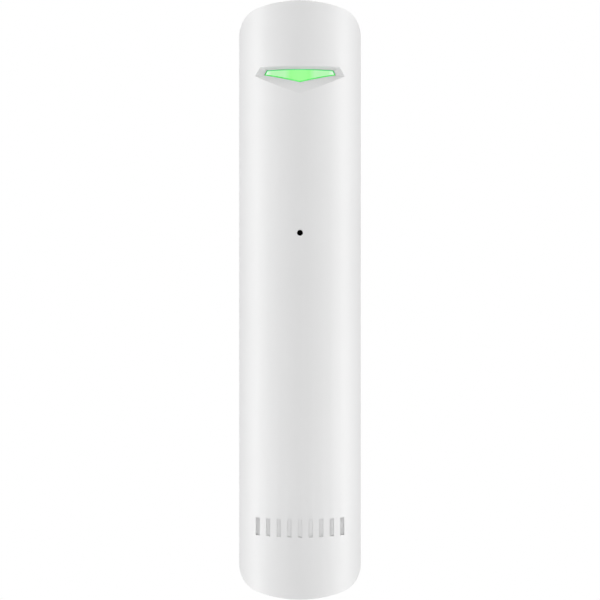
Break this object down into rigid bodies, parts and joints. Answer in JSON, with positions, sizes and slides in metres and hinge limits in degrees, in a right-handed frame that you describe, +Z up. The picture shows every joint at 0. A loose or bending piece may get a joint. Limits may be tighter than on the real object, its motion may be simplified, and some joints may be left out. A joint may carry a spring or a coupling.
{
  "type": "glass break sensor",
  "caption": "Slim half-round white glass break sensor with a lit V-shaped window, a microphone pinhole and a slide-on wall bracket.",
  "frame": {"origin": "centre of the wall bracket's flat back, on the wall", "axes": "+X across the front, to the right as seen from the room; +Y into the wall, so the front faces -Y; +Z up, along the housing"},
  "size_m": [0.0188, 0.02, 0.09],
  "materials": {
    "housing_plastic": "satin",
    "bracket_plastic": "matte",
    "light_guide_clear": "lit diffusing",
    "led_body": "gloss",
    "board_laminate": "solder resist",
    "capsule_metal": "satin",
    "black_rubber": "matte",
    "black_mesh": "woven",
    "tinned_wire": "tinned",
    "shield_metal": "tinned",
    "chip_resin": "matte",
    "crystal_metal": "satin",
    "capacitor_can": "satin",
    "antenna_metal": "plated",
    "switch_plastic": "matte",
    "plunger_plastic": "satin",
    "spring_steel": "bright",
    "button_plastic": "satin",
    "terminal_plastic": "satin",
    "screw_steel": "zinc plated",
    "cell_sleeve": "sleeved",
    "contact_nickel": "nickel plated",
    "wire_sleeve": "satin",
    "label_film": "matte"
  },
  "bodies": {
    "bracket": {"mounting_bracket": "bracket_plastic"},
    "housing": {"front_cover": "housing_plastic", "rear_cover": "housing_plastic", "light_guide": "light_guide_clear", "status_led": "led_body", "circuit_board": "board_laminate", "microphone": "capsule_metal", "microphone_gasket": "black_rubber", "acoustic_mesh": "black_mesh", "microphone_lead_left": "tinned_wire", "microphone_lead_right": "tinned_wire", "radio_shield": "shield_metal", "processor_chip": "chip_resin", "crystal": "crystal_metal", "capacitor": "capacitor_can", "antenna": "antenna_metal", "tamper_switch": "switch_plastic", "tamper_spring": "spring_steel", "power_switch": "switch_plastic", "terminal_block": "terminal_plastic", "terminal_screw_left": "screw_steel", "terminal_screw_right": "screw_steel", "battery": "cell_sleeve", "battery_contact_positive": "contact_nickel", "battery_contact_negative": "contact_nickel", "negative_wire": "wire_sleeve", "board_screw_low": "screw_steel", "board_screw_high": "screw_steel", "cover_screw_low": "screw_steel", "cover_screw_high": "screw_steel", "identity_label": "label_film"},
    "plunger": {"tamper_plunger": "plunger_plastic"},
    "button": {"power_button": "button_plastic"}
  },
  "joints": [
    {"name": "housing_slide", "type": "slide", "parent": "bracket", "child": "housing", "axis": [0, 0, 1], "range_m": [0, 0.0032]},
    {"name": "tamper_slide", "type": "slide", "parent": "housing", "child": "plunger", "axis": [0, -1, 0], "range_m": [0, 0.0005], "stiffness_N_per_m": 200, "springref_m": -0.001, "deforming": ["tamper_spring"]},
    {"name": "button_slide", "type": "slide", "parent": "housing", "child": "button", "axis": [0, -1, 0], "range_m": [0, 0.0003], "stiffness_N_per_m": 1500, "springref_m": -0.0001}
  ]
}
